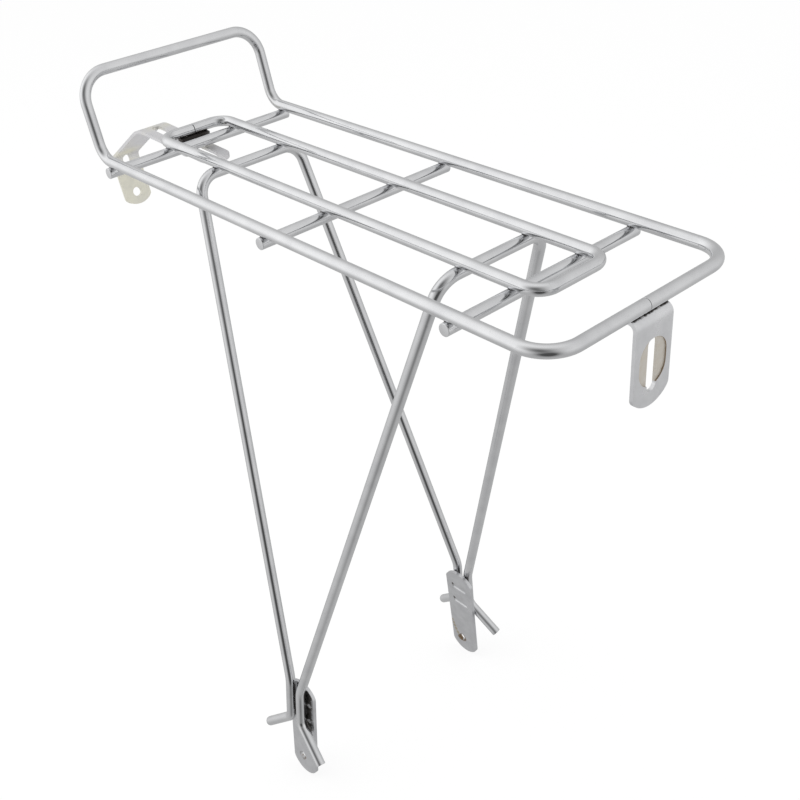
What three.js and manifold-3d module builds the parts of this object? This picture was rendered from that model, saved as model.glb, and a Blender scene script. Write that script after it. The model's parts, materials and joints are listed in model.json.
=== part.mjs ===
// Bicycle rear rack: a bent-rod luggage deck on two leg hoops, with a slotted
// front stay that slides and swivels on its clamp screw.
// Millimetres. +X forward (towards the raised hoop), +Y left, +Z up.
// The rack is built with the rear bar's centre line at x = 0, z = 0 and moved
// at the end so that the origin is the centre of its footprint.

import * as THREE from 'three';
import { mergeVertices } from 'three/addons/utils/BufferGeometryUtils.js';
import Module from 'manifold-3d';

const wasm = await Module();
wasm.setup();

// ---- driving dimensions ----------------------------------------------------

const ROD_R = 3.35;             // every rod is 6.7 mm stock
const ROD_SIDES = 16;
const BEND_STEP = THREE.MathUtils.degToRad(12);
const ARC_STEPS = 9;            // facets in each arc of an outline
const FAR = 200;                // beyond the reach of any bracket or strip
const WELD_GAP = 0.05;          // clearance between welded neighbours
const SEAM_GAP = 0.25;          // butt seam in a closed rod

const DECK_HALF = 65;           // outer rails, centre line
const DECK_LENGTH = 358.5;      // rear bar to the foot of the hoop
const REAR_CORNER_R = 18;
const HOOP_FORWARD = 11.7;      // the hoop leans forward
const HOOP_RISE = 48.5;
const HOOP_TOP_R = 17.5;
const HOOP_BASE_R = 12;

const LOOP_HALF = 24;           // inner loop rails, centre line
const LOOP_REAR_X = 41.4;
const LOOP_FRONT_X = 359;
const LOOP_R = 10;

const CROSS_X = { front: 349.5, middle: 196, rear: 59 };
const CROSS_HALF = 68.7;        // ends stand just proud of the rails
const CROSS_CHAMFER = 0.4;
const UNDER_Z = -(2 * ROD_R + WELD_GAP);   // rods welded under the deck

const LEG_TOP_X = { front: 298.5, rear: 93.6 };
const LEG_TOP_HALF = 37;        // before the rounded corners
const LEG_TOP_R = 13;
const KINK = { front: { x: 214.8, z: -334 }, rear: { x: 204.6, z: -340 } };
const KINK_R = 30;
const HOOK = { front: { x: 216.7, z: -370 }, rear: { x: 205.9, z: -370 } };
const HOOK_R = 8;
const STUB_END = { front: { x: 241.2, z: -392 }, rear: { x: 181.8, z: -389 } };
const STUB_HALF = 88;
const FOOT_HALF = 81;           // rods' half spacing at FOOT_Z
const FOOT_Z = -336;
const FOOT_LEAN = 0.077;        // outward lean of the feet, run over rise

const PLATE_HALF = 13;          // foot plate
const PLATE_X = 209;
const PLATE_TOP_Z = -337.5;
const PLATE_BOTTOM_Z = -422;
const PLATE_T = 2.4;
const PLATE_ARC_R = 16;
const PLATE_TAPER = 2.2;        // narrower at the bottom, all of it at the rear edge
const CORNER_R = 1.5;
const EYELET = { x: 211.5, z: -409, r: 3.4 };
const RIDGES = { z: [-352.5, -367.5], height: 0.7, r: 2.6, straight: 11 };

const BRACKET_T = 2;            // reflector bracket
const BRACKET_HALF = 13.4;
const BRACKET_FACE_X = -4.6;    // rear face
const BRACKET_BEND_R = 3;       // inside the bend
const BRACKET_FLANGE_X = 6;
const BRACKET_BOTTOM_Z = -51.7;
const BRACKET_ARC_R = 17;
const BRACKET_SLOT = { half: 3.3, top: -16, bottom: -44 };
const BRACKET_PAD = { half: 9.9, top: -15.6, bottom: -40.9, depth: 0.7 };

const STAY_SLOPE = THREE.MathUtils.degToRad(2.4);  // arm falls to the rear
const STAY_HALF = 10.4;
const STAY_T = 2;
const STAY_TAIL = -31;          // along the arm, from the loop's front bar
const STAY_BEND = 54.2;
const STAY_DROP_LENGTH = 55.5;
const STAY_DROP_ANGLE = THREE.MathUtils.degToRad(37.2);
const STAY_TONGUE_LENGTH = 36.5;
const STAY_TONGUE_ANGLE = THREE.MathUtils.degToRad(108);
const STAY_SHOULDER_R = 22;     // outer faces of the two bends
const STAY_KNEE_R = 6;
const STAY_SLOT = { half: 3.2, rear: -22, front: 48.5 };
const TONGUE_SLOT = { half: 2.8, top: 0.5, bottom: 13.5 };
const TONGUE_HOLE = { from: 27.8, r: 3.25 };
const TONGUE_ARC_R = 14;

const TAB = { rear: -3.6, front: 14, half: 10.5, t: 2.5, corner: 2.5 };
const SCREW_AT = 7.5;           // forward of the loop's front bar
const SCREW_R = 2.9;
const SCREW_BORE_R = 3.2;
const NUT = { flats: 10, t: 5.2 };
const HEAD = { flats: 10, t: 4 };
const WASHER = { r: 6, bore: 3.3, t: 1.2 };
const CLAMP_GAP = 0.3;
const SCREW_TIP = 0.8;          // thread showing above the tab

// ---- materials -------------------------------------------------------------

const polishedRod = new THREE.MeshStandardMaterial({
  name: 'polished_rod', color: 0xc9cbce, roughness: 0.24, metalness: 1 });
const plainPlate = new THREE.MeshStandardMaterial({
  name: 'plain_plate', color: 0xbcbec1, roughness: 0.36, metalness: 1 });
const zincStrip = new THREE.MeshStandardMaterial({
  name: 'zinc_strip', color: 0xd6d2bd, roughness: 0.42, metalness: 0.9 });
const fastener = new THREE.MeshStandardMaterial({
  name: 'fastener', color: 0xb9bab8, roughness: 0.35, metalness: 1 });

// ---- solids and booleans ---------------------------------------------------

function solid(geometry) {
  const bare = geometry.clone();
  bare.deleteAttribute('normal');
  bare.deleteAttribute('uv');
  const merged = mergeVertices(bare, 1e-4);
  return new wasm.Manifold(new wasm.Mesh({
    numProp: 3,
    vertProperties: merged.attributes.position.array,
    triVerts: new Uint32Array(merged.index.array),
  }));
}

function geometryOf(manifold) {
  const mesh = manifold.getMesh();
  const geometry = new THREE.BufferGeometry();
  geometry.setAttribute('position', new THREE.BufferAttribute(mesh.vertProperties, 3));
  geometry.setIndex(new THREE.BufferAttribute(mesh.triVerts, 1));
  geometry.computeVertexNormals();
  return geometry;
}

const v3 = (x, y, z) => new THREE.Vector3(x, y, z);

// ---- bent rods -------------------------------------------------------------

// Stations along a path of straight runs joined by arcs: each is a point and
// the direction of travel there.
function bentStations(corners, radii) {
  const first = corners[0];
  const last = corners[corners.length - 1];
  const stations = [{
    point: first,
    tangent: corners[1].clone().sub(first).normalize(),
  }];
  for (let i = 1; i < corners.length - 1; i += 1) {
    const corner = corners[i];
    const radius = radii[i - 1];
    const arriving = corner.clone().sub(corners[i - 1]).normalize();
    const leaving = corners[i + 1].clone().sub(corner).normalize();
    const turn = arriving.angleTo(leaving);
    const setback = radius * Math.tan(turn / 2);
    const start = corner.clone().addScaledVector(arriving, -setback);
    const axis = arriving.clone().cross(leaving).normalize();
    const centre = start.clone().addScaledVector(axis.clone().cross(arriving), radius);
    const arm = start.clone().sub(centre);
    const count = Math.max(2, Math.ceil(turn / BEND_STEP));
    for (let k = 0; k <= count; k += 1) {
      const angle = (turn * k) / count;
      stations.push({
        point: centre.clone().add(arm.clone().applyAxisAngle(axis, angle)),
        tangent: arriving.clone().applyAxisAngle(axis, angle),
      });
    }
  }
  stations.push({
    point: last,
    tangent: last.clone().sub(corners[corners.length - 2]).normalize(),
  });
  return stations;
}

// A curve that visits the stations one by one, so that an extrusion places a
// ring at each bend's steps and none along the straight runs.
class StationCurve extends THREE.Curve {
  constructor(stations) {
    super();
    this.stations = stations;
  }

  at(t) {
    return this.stations[Math.round(t * (this.stations.length - 1))];
  }

  getPoint(t, target = new THREE.Vector3()) {
    return target.copy(this.at(t).point);
  }

  getTangent(t, target = new THREE.Vector3()) {
    return target.copy(this.at(t).tangent);
  }

  getUtoTmapping(u) {
    return u;
  }
}

function roundSection(radius, sides) {
  const points = [];
  for (let i = 0; i < sides; i += 1) {
    const angle = (2 * Math.PI * i) / sides;
    points.push(new THREE.Vector2(radius * Math.cos(angle), radius * Math.sin(angle)));
  }
  return new THREE.Shape(points);
}

function bentRod(corners, radii) {
  const stations = bentStations(corners, radii);
  return new THREE.ExtrudeGeometry(roundSection(ROD_R, ROD_SIDES), {
    steps: stations.length - 1,
    extrudePath: new StationCurve(stations),
    bevelEnabled: false,
  });
}

function straightRod(length) {
  const end = length / 2;
  const rim = ROD_R - CROSS_CHAMFER;
  const profile = [
    [0, -end], [rim, -end], [ROD_R, CROSS_CHAMFER - end],
    [ROD_R, end - CROSS_CHAMFER], [rim, end], [0, end],
  ];
  return new THREE.LatheGeometry(
    profile.map(([x, y]) => new THREE.Vector2(x, y)), ROD_SIDES);
}

// ---- flat shapes -----------------------------------------------------------

// Obround outline: two half circles of radius half, from low to high along y.
function obround(half, low, high) {
  const outline = new THREE.Shape();
  outline.moveTo(half, low + half);
  outline.lineTo(half, high - half);
  outline.absarc(0, high - half, half, 0, Math.PI, false);
  outline.lineTo(-half, low + half);
  outline.absarc(0, low + half, half, Math.PI, 2 * Math.PI, false);
  return outline;
}

// Prism of an outline drawn in x, y, rising from z = 0 to its depth.
function prism(outline, depth) {
  return new THREE.ExtrudeGeometry(outline, {
    depth, bevelEnabled: false, curveSegments: ARC_STEPS });
}

// Section of a bent strip: one face follows the path, the other lies to the
// side of it by the thickness (positive to the left of travel).
function stripShape(corners, radii, thickness) {
  const stations = bentStations(corners.map(([x, y]) => v3(x, y, 0)), radii);
  const face = (offset) => stations.map(({ point, tangent }) => new THREE.Vector2(
    point.x - tangent.y * offset, point.y + tangent.x * offset));
  return new THREE.Shape([...face(0), ...face(thickness).reverse()]);
}

// Strip bent in the x, z plane and centred on y = 0.
function bentStrip(corners, radii, thickness, width) {
  const section = stripShape(corners, radii, thickness);
  return solid(prism(section, width).rotateX(Math.PI / 2).translate(0, width / 2, 0));
}

// Outline with straight sides, a shallow arc at each end and eased corners.
function plateOutline(half, low, high, arcR) {
  const rise = arcR - Math.sqrt(arcR * arcR - half * half);
  const flank = half - CORNER_R;
  const reach = Math.asin(flank / arcR);
  const eased = arcR * (1 - Math.cos(reach));
  const quarter = Math.PI / 2;
  const outline = new THREE.Shape();
  outline.moveTo(half, low + rise + CORNER_R);
  outline.lineTo(half, high - rise - CORNER_R);
  outline.quadraticCurveTo(half, high - rise, flank, high - eased);
  outline.absarc(0, high - arcR, arcR, quarter - reach, quarter + reach, false);
  outline.quadraticCurveTo(-half, high - rise, -half, high - rise - CORNER_R);
  outline.lineTo(-half, low + rise + CORNER_R);
  outline.quadraticCurveTo(-half, low + rise, -flank, low + eased);
  outline.absarc(0, low + arcR, arcR, -quarter - reach, -quarter + reach, false);
  outline.quadraticCurveTo(half, low + rise, half, low + rise + CORNER_R);
  return outline;
}

// Long prism square to a strip: the outline's y runs along the strip and its x
// across; it reaches as far to either side of the origin.
function punch(outline, origin, along) {
  const across = v3(0, 1, 0);
  const square = across.clone().cross(along);
  const turn = new THREE.Matrix4().makeBasis(across, along, square).setPosition(origin);
  return solid(prism(outline, 2 * FAR).translate(0, 0, -FAR).applyMatrix4(turn));
}

function disc(radius) {
  const outline = new THREE.Shape();
  outline.absarc(0, 0, radius, 0, 2 * Math.PI, false);
  return outline;
}

function circularHole(x, y, radius) {
  const outline = new THREE.Path();
  outline.absarc(x, y, radius, 0, 2 * Math.PI, true);
  return outline;
}

// ---- parts -----------------------------------------------------------------

function outerFrame() {
  const hoopX = DECK_LENGTH + HOOP_FORWARD;
  const left = [
    v3(0, SEAM_GAP / 2, 0),
    v3(0, DECK_HALF, 0),
    v3(DECK_LENGTH, DECK_HALF, 0),
    v3(hoopX, DECK_HALF, HOOP_RISE),
  ];
  const right = left.map((p) => v3(p.x, -p.y, p.z)).reverse();
  const radii = [REAR_CORNER_R, HOOP_BASE_R, HOOP_TOP_R];
  return bentRod([...left, ...right], [...radii, ...radii.slice().reverse()]);
}

function innerLoop() {
  const left = [
    v3(LOOP_FRONT_X, SEAM_GAP / 2, 0),
    v3(LOOP_FRONT_X, LOOP_HALF, 0),
    v3(LOOP_REAR_X, LOOP_HALF, 0),
  ];
  const right = left.map((p) => v3(p.x, -p.y, p.z)).reverse();
  return bentRod([...left, ...right], [LOOP_R, LOOP_R, LOOP_R, LOOP_R]);
}

const footHalfAt = (z) => FOOT_HALF + FOOT_LEAN * (FOOT_Z - z);

function legHoop(end) {
  const kink = KINK[end];
  const hook = HOOK[end];
  const stub = STUB_END[end];
  const left = [
    v3(stub.x, STUB_HALF, stub.z),
    v3(hook.x, footHalfAt(hook.z), hook.z),
    v3(kink.x, footHalfAt(kink.z), kink.z),
    v3(LEG_TOP_X[end], LEG_TOP_HALF, UNDER_Z),
  ];
  const right = left.map((p) => v3(p.x, -p.y, p.z)).reverse();
  const radii = [HOOK_R, KINK_R, LEG_TOP_R];
  return bentRod([...left, ...right], [...radii, ...radii.slice().reverse()]);
}

// Draws the rear edge of a foot plate in towards its bottom.
function tapered(geometry, side) {
  const { position } = geometry.attributes;
  for (let i = 0; i < position.count; i += 1) {
    const rearward = (side * position.getX(i) + PLATE_HALF) / (2 * PLATE_HALF);
    const fallen = (PLATE_TOP_Z - FOOT_Z - position.getY(i)) / (PLATE_TOP_Z - PLATE_BOTTOM_Z);
    position.setX(i, position.getX(i) - side * PLATE_TAPER * rearward * fallen);
  }
  return geometry;
}

// Drawn with x along the rack for the right side, y up from FOOT_Z and the
// outer face towards +z; the two ridges stand on the outer face.
function footPlate(side) {
  const outline = plateOutline(
    PLATE_HALF, PLATE_BOTTOM_Z - FOOT_Z, PLATE_TOP_Z - FOOT_Z, PLATE_ARC_R);
  outline.holes.push(circularHole(side * (PLATE_X - EYELET.x), EYELET.z - FOOT_Z, EYELET.r));
  const outside = -(ROD_R + WELD_GAP + RIDGES.height);
  const inside = outside - PLATE_T;
  const slab = new THREE.BoxGeometry(FAR, 2 * FAR, FAR).translate(0, 0, inside + FAR / 2);
  const outward = solid(slab);
  let plate = solid(tapered(prism(outline, PLATE_T), side).translate(0, 0, inside));
  for (const z of RIDGES.z) {
    const bar = new THREE.CapsuleGeometry(RIDGES.r, RIDGES.straight, 4, ROD_SIDES);
    bar.rotateZ(Math.PI / 2).translate(0, z - FOOT_Z, outside + RIDGES.height - RIDGES.r);
    const groove = bar.clone().translate(0, 0, -PLATE_T);
    plate = plate.add(solid(bar).intersect(outward)).subtract(solid(groove));
  }
  return geometryOf(plate);
}

function reflectorBracket() {
  const top = -(ROD_R + WELD_GAP);
  const angle = bentStrip(
    [[BRACKET_FLANGE_X, top], [BRACKET_FACE_X, top], [BRACKET_FACE_X, BRACKET_BOTTOM_Z]],
    [BRACKET_BEND_R + BRACKET_T], BRACKET_T, 2 * BRACKET_HALF);
  const up = v3(0, 0, 1);
  const middle = v3(0, 0, 0);
  const padFloor = v3(BRACKET_FACE_X + BRACKET_PAD.depth - FAR, 0, 0);
  const outline = plateOutline(BRACKET_HALF, BRACKET_BOTTOM_Z, FAR, BRACKET_ARC_R);
  const slot = obround(BRACKET_SLOT.half, BRACKET_SLOT.bottom, BRACKET_SLOT.top);
  const pad = obround(BRACKET_PAD.half, BRACKET_PAD.bottom, BRACKET_PAD.top);
  return geometryOf(angle
    .intersect(punch(outline, middle, up))
    .subtract(punch(slot, middle, up))
    .subtract(punch(pad, padFloor, up)));
}

// Heights in the clamp stack, square to the arm and down from the tab's top.
const nutTop = -(TAB.t + WELD_GAP);
const armTop = nutTop - NUT.t - CLAMP_GAP;
const washerTop = armTop - STAY_T - CLAMP_GAP;
const headTop = washerTop - WASHER.t - WELD_GAP;

function stayTab() {
  const { rear, front, half, corner } = TAB;
  const outline = new THREE.Shape();
  outline.moveTo(rear, -half);
  outline.lineTo(front - corner, -half);
  outline.absarc(front - corner, corner - half, corner, -Math.PI / 2, 0, false);
  outline.lineTo(front, half - corner);
  outline.absarc(front - corner, half - corner, corner, 0, Math.PI / 2, false);
  outline.lineTo(rear, half);
  outline.holes.push(circularHole(SCREW_AT, 0, SCREW_BORE_R));
  return geometryOf(solid(prism(outline, TAB.t).translate(0, 0, -TAB.t)));
}

const hexagon = (flats) => roundSection(flats / Math.sqrt(3), 6);

// Ring of a given outline round the screw, hanging from a height.
function ring(outline, boreR, thickness, top) {
  outline.holes.push(circularHole(0, 0, boreR));
  return prism(outline, thickness).translate(SCREW_AT, 0, top - thickness);
}

function screw() {
  const head = prism(hexagon(HEAD.flats), HEAD.t).translate(0, 0, headTop - HEAD.t);
  const bottom = headTop - HEAD.t / 2;
  const shank = prism(disc(SCREW_R), SCREW_TIP - bottom).translate(0, 0, bottom);
  return geometryOf(solid(head).add(solid(shank))).translate(SCREW_AT, 0, 0);
}

function frontStay() {
  const along = v3(1, 0, 0);
  const dropping = v3(Math.cos(STAY_DROP_ANGLE), 0, -Math.sin(STAY_DROP_ANGLE));
  const hanging = v3(Math.cos(STAY_TONGUE_ANGLE), 0, -Math.sin(STAY_TONGUE_ANGLE));
  const tail = v3(STAY_TAIL, 0, armTop);
  const shoulder = v3(STAY_BEND, 0, armTop);
  const knee = shoulder.clone().addScaledVector(dropping, STAY_DROP_LENGTH);
  const tip = knee.clone().addScaledVector(hanging, STAY_TONGUE_LENGTH);
  const strip = bentStrip(
    [tail, shoulder, knee, tip].map((p) => [p.x, p.z]),
    [STAY_SHOULDER_R, STAY_KNEE_R], -STAY_T, 2 * STAY_HALF);
  const start = v3(0, 0, 0);
  const holeAt = knee.clone().addScaledVector(hanging, TONGUE_HOLE.from);
  const armOutline = obround(STAY_HALF, STAY_TAIL, FAR);
  const tongueOutline = plateOutline(STAY_HALF, -FAR, STAY_TONGUE_LENGTH, TONGUE_ARC_R);
  const armSlot = obround(STAY_SLOT.half, STAY_SLOT.rear, STAY_SLOT.front);
  const kneeSlot = obround(TONGUE_SLOT.half, TONGUE_SLOT.top, TONGUE_SLOT.bottom);
  return geometryOf(strip
    .intersect(punch(armOutline, start, along))
    .intersect(punch(tongueOutline, knee, hanging))
    .subtract(punch(armSlot, start, along))
    .subtract(punch(kneeSlot, knee, hanging))
    .subtract(punch(disc(TONGUE_HOLE.r), holeAt, hanging)));
}

// ---- assembly --------------------------------------------------------------

const rack = new THREE.Group();
rack.name = 'rear_rack';

function place(parent, name, geometry, material) {
  const mesh = new THREE.Mesh(geometry, material.clone());
  mesh.name = name;
  parent.add(mesh);
  return mesh;
}

place(rack, 'outer_frame', outerFrame(), polishedRod);
place(rack, 'inner_loop', innerLoop(), polishedRod);
for (const [end, x] of Object.entries(CROSS_X)) {
  const rod = place(rack, `cross_rod_${end}`, straightRod(2 * CROSS_HALF), polishedRod);
  rod.position.set(x, 0, UNDER_Z);
}
for (const end of Object.keys(LEG_TOP_X)) {
  place(rack, `leg_hoop_${end}`, legHoop(end), polishedRod);
}
place(rack, 'reflector_bracket', reflectorBracket(), plainPlate);

// Each foot plate hangs from a point on the axis of its rods and leans with them.
for (const [name, side] of [['left', 1], ['right', -1]]) {
  const foot = new THREE.Group();
  foot.position.set(PLATE_X, side * FOOT_HALF, FOOT_Z);
  foot.rotation.x = side * Math.atan(FOOT_LEAN);
  const plate = place(foot, `foot_plate_${name}`, footPlate(side), plainPlate);
  plate.rotation.set(Math.PI / 2, 0, side > 0 ? Math.PI : 0, 'ZYX');
  rack.add(foot);
}

// The clamp and the stay share a frame that slopes with the arm: x along the
// arm, z square to it, starting on the underside of the loop's front bar.
const sloped = new THREE.Group();
sloped.position.set(LOOP_FRONT_X, 0, -(ROD_R + WELD_GAP));
sloped.rotation.y = -STAY_SLOPE;
rack.add(sloped);
place(sloped, 'stay_tab', stayTab(), plainPlate);
place(sloped, 'stay_nut', ring(hexagon(NUT.flats), SCREW_BORE_R, NUT.t, nutTop), fastener);
place(sloped, 'stay_washer', ring(disc(WASHER.r), WASHER.bore, WASHER.t, washerTop), fastener);
place(sloped, 'stay_screw', screw(), fastener);
place(sloped, 'front_stay', frontStay(), zincStrip);

const extent = new THREE.Box3().setFromObject(rack, true);
rack.position.set(-(extent.min.x + extent.max.x) / 2, 0, -extent.min.z);

export default rack;
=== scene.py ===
"""Bicycle rear rack: fine rods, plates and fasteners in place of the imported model's plain ones.

Their plated metals are procedural, and a plain pale studio stands round them.
"""

import json
import math

import bmesh
import bpy
from mathutils import Matrix, Vector, noise


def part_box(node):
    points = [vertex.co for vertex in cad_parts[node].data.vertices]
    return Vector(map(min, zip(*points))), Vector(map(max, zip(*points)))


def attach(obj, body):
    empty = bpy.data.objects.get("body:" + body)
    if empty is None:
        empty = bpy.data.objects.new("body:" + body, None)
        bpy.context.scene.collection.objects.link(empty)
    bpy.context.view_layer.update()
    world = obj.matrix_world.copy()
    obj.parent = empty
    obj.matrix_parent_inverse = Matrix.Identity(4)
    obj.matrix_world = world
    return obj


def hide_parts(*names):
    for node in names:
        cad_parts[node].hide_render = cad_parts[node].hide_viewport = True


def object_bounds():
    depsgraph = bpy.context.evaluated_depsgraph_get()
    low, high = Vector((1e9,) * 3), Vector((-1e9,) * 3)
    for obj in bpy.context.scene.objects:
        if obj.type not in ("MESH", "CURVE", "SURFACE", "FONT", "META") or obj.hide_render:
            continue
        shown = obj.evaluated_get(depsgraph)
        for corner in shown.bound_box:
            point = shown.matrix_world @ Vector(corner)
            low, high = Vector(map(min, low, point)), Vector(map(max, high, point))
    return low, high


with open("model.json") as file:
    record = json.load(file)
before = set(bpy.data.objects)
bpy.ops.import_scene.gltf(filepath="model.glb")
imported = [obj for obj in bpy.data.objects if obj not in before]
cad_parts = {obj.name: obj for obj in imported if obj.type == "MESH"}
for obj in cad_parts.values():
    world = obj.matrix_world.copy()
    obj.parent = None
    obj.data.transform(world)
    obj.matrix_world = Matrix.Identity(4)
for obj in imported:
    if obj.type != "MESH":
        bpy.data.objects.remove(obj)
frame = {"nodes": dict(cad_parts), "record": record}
CAD_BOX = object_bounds()

# ---- the rack's own axes: millimetres from the centre of the rear bar ---------------------------

MM = 0.001
LOOP_LOW, LOOP_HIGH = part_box("inner_loop")
OUTER_LOW, OUTER_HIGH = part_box("outer_frame")
ROD_R = (LOOP_HIGH.z - LOOP_LOW.z) / 2 / MM
REAR_BAR = Vector((OUTER_LOW.x + ROD_R * MM, 0, (LOOP_LOW.z + LOOP_HIGH.z) / 2))


def at(x, y, z):
    """A point of the frame, in metres, from millimetres forward, left and up of the rear bar's centre."""
    return REAR_BAR + Vector((x, y, z)) * MM


def from_bar(point):
    """The reverse of at(): a point of the frame in the rack's own millimetres."""
    return (Vector(point) - REAR_BAR) / MM


def mount(name):
    """(point, outward normal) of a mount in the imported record."""
    found = next(m for m in frame["record"]["mounts"] if m["name"] == name)
    return Vector(found["pos_m"]), Vector(found["axis"])


OUTER_HALF = from_bar(OUTER_HIGH).y - ROD_R
HOOP_TOP = from_bar(OUTER_HIGH) - Vector((ROD_R, 0, ROD_R))
LOOP_HALF = from_bar(LOOP_HIGH).y - ROD_R
LOOP_REAR = from_bar(LOOP_LOW).x + ROD_R
LOOP_FRONT = from_bar(LOOP_HIGH).x - ROD_R
CROSS_X = {
    end: from_bar(sum(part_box(f"cross_rod_{end}"), Vector()) / 2).x
    for end in ("front", "middle", "rear")
}
CROSS_HALF = from_bar(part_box("cross_rod_front")[1]).y
UNDER_Z = from_bar(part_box("cross_rod_front")[0]).z + ROD_R
LEG_TOP_X = {
    "front": from_bar(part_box("leg_hoop_front")[1]).x - ROD_R,
    "rear": from_bar(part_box("leg_hoop_rear")[0]).x + ROD_R,
}

SEAMS = {"outer_frame": (1.7, 0.25), "inner_loop": (0.0, 0.45)}   # place across the rack, width of the gap
HOOP_BASE_X = LOOP_FRONT - 0.5
BEND_R = {
    "rear_corner": 18, "hoop_base": 12, "hoop_top": 17.5,
    "loop": 10, "leg_top": 13, "kink": 30, "hook": 8,
}
LEG_TOP_HALF = 37
KINK = {"front": (214.8, -334), "rear": (204.6, -340)}
HOOK = {"front": (216.7, -370), "rear": (205.9, -370)}
STUB_END = {"front": (241.2, -392), "rear": (181.8, -389)}
STUB_HALF = 88
WELD_SINK = 0.4      # rods under the deck are raised this much, into the rods above them
FOOT_HALF, FOOT_Z, FOOT_LEAN = 81, -336, 0.077
RIDGE_Z = (-352.5, -367.5)
FLANGE_WELD_X = -0.9
FLANGE_BEADS = (6.0, -6.0)
TAB_WELD_Y = 6
SIDES = (1, -1)      # left, right


def foot_half_at(z):
    """Half the spacing of the rods down at the feet, which lean outwards."""
    return FOOT_HALF + FOOT_LEAN * (FOOT_Z - z)


# ---- shader helpers ------------------------------------------------------------------------------


MOST_NOISE = (0.3, 0.7)      # nearly all of a noise texture's values lie between these


def feed(tree, socket, value):
    """Gives an input socket a plain value, or links it to another node's output socket."""
    if isinstance(value, bpy.types.NodeSocket):
        tree.links.new(value, socket)
    else:
        socket.default_value = value


def add(tree, kind, inputs=None, **settings):
    """Adds a shader node; inputs hold plain values or the sockets to link from."""
    node = tree.nodes.new("ShaderNode" + kind)
    for key, value in settings.items():
        setattr(node, key, value)
    for key, value in (inputs or {}).items():
        feed(tree, node.inputs[key], value)
    return node


def mix_colour(tree, factor, first, second):
    """Output socket of a colour mix."""
    node = add(tree, "Mix", data_type="RGBA")
    for socket, value in zip((node.inputs[0], node.inputs[6], node.inputs[7]), (factor, first, second)):
        feed(tree, socket, value)
    return node.outputs[2]


def remap(tree, value, low, high, to_low, to_high, smooth=False):
    """Output socket of a clamped Map Range."""
    kind = "SMOOTHSTEP" if smooth else "LINEAR"
    sizes = {"Value": value, "From Min": low, "From Max": high, "To Min": to_low, "To Max": to_high}
    return add(tree, "MapRange", sizes, interpolation_type=kind).outputs["Result"]


def noise_at(tree, vector, scale, detail=4.0, roughness=0.55):
    """Output socket of a noise texture, about 0 to 1, with scale repeats to the unit of its vector."""
    settings = {"Vector": vector, "Scale": scale, "Detail": detail, "Roughness": roughness}
    return add(tree, "TexNoise", settings).outputs["Fac"]


def math_node(tree, operation, *values):
    """Output socket of a Math node."""
    node = add(tree, "Math", operation=operation)
    for socket, value in zip(node.inputs, values):
        feed(tree, socket, value)
    return node.outputs[0]


def empty_material(name):
    """A new node material and its tree, with nothing but an output."""
    material = bpy.data.materials.new(name)
    material.use_nodes = True
    tree = material.node_tree
    tree.nodes.clear()
    return material, tree


def finish_material(tree, colour, roughness, height, metallic=1.0, bump=0.2, depth=0.00002):
    """Principled metal with a bump from the height socket."""
    normal = add(tree, "Bump", {"Height": height, "Strength": bump, "Distance": depth})
    surface = add(tree, "BsdfPrincipled", {
        "Base Color": colour, "Metallic": metallic, "Roughness": roughness, "Normal": normal.outputs[0]})
    add(tree, "OutputMaterial", {"Surface": surface.outputs[0]})


# ---- materials -----------------------------------------------------------------------------------

ROD_COLOUR = (0.80, 0.805, 0.815, 1)
ROD_SHADE = (0.70, 0.705, 0.72, 1)
# scorched weld metal and dark seams, also used as painted contact shadow round the welds
SCORCH_AND_SHADE = (0.085, 0.076, 0.07, 1)
PLATE_COLOUR = (0.74, 0.745, 0.76, 1)
PLATE_SHADE = (0.62, 0.625, 0.64, 1)
BRACKET_COLOUR = (0.84, 0.845, 0.86, 1)
RUST = (0.27, 0.185, 0.105, 1)
DIRT = (0.55, 0.48, 0.36, 1)
# dark spots on the stay's tab: weld burn with painted shade under the loop's front bar
TAB_BURN_AND_SHADE = (0.11, 0.10, 0.095, 1)
# painted shade at the front end of each groove in the feet
GROOVE_END_SHADE = (0.13, 0.115, 0.10, 1)
BEAD = (0.78, 0.78, 0.79, 1)
CREAM = (0.88, 0.86, 0.74, 1)
LILAC = (0.80, 0.795, 0.81, 1)
PAD_COLOUR = (0.62, 0.575, 0.50, 1)
PAD_RIM = (0.30, 0.21, 0.12, 1)

ROD_ROUGH = (0.09, 0.15)
PLATE_ROUGH = (0.27, 0.37)
ZINC_ROUGH = (0.34, 0.46)
WELD_ROUGH = (0.55, 0.35)
PAD_ROUGH = 0.5
ROD_LINES = (90, 260, 1)     # repeats of the drawn lines: round the rod, and to each metre along it
ROLLING = (3200, 3200, 420)  # repeats of the sheet's grain to each metre: it runs upright
PITS = (0.70, 0.76)          # noise at which a pit begins, and at which it is full
DARKENING_SHOWS = (0.25, 0.95)    # value at which the darkening near welds begins, and at which it is full: weld scorch with painted contact shadow
COVER = 0.92                 # how much of the metal a full darkening or spot hides
SPOT_FADE = 0.35             # share of a spot's reach over which it fades
SPOT_RAGGED = 0.2            # share of a spot's reach by which its edge wanders
LOOKS_OUT = (0.3, 0.6)       # how squarely a face looks outwards before it takes outside spots
ZINC_DRIFT = 0.12            # how much creamier the stay's tongue is, and how much bluer its arm


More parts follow.
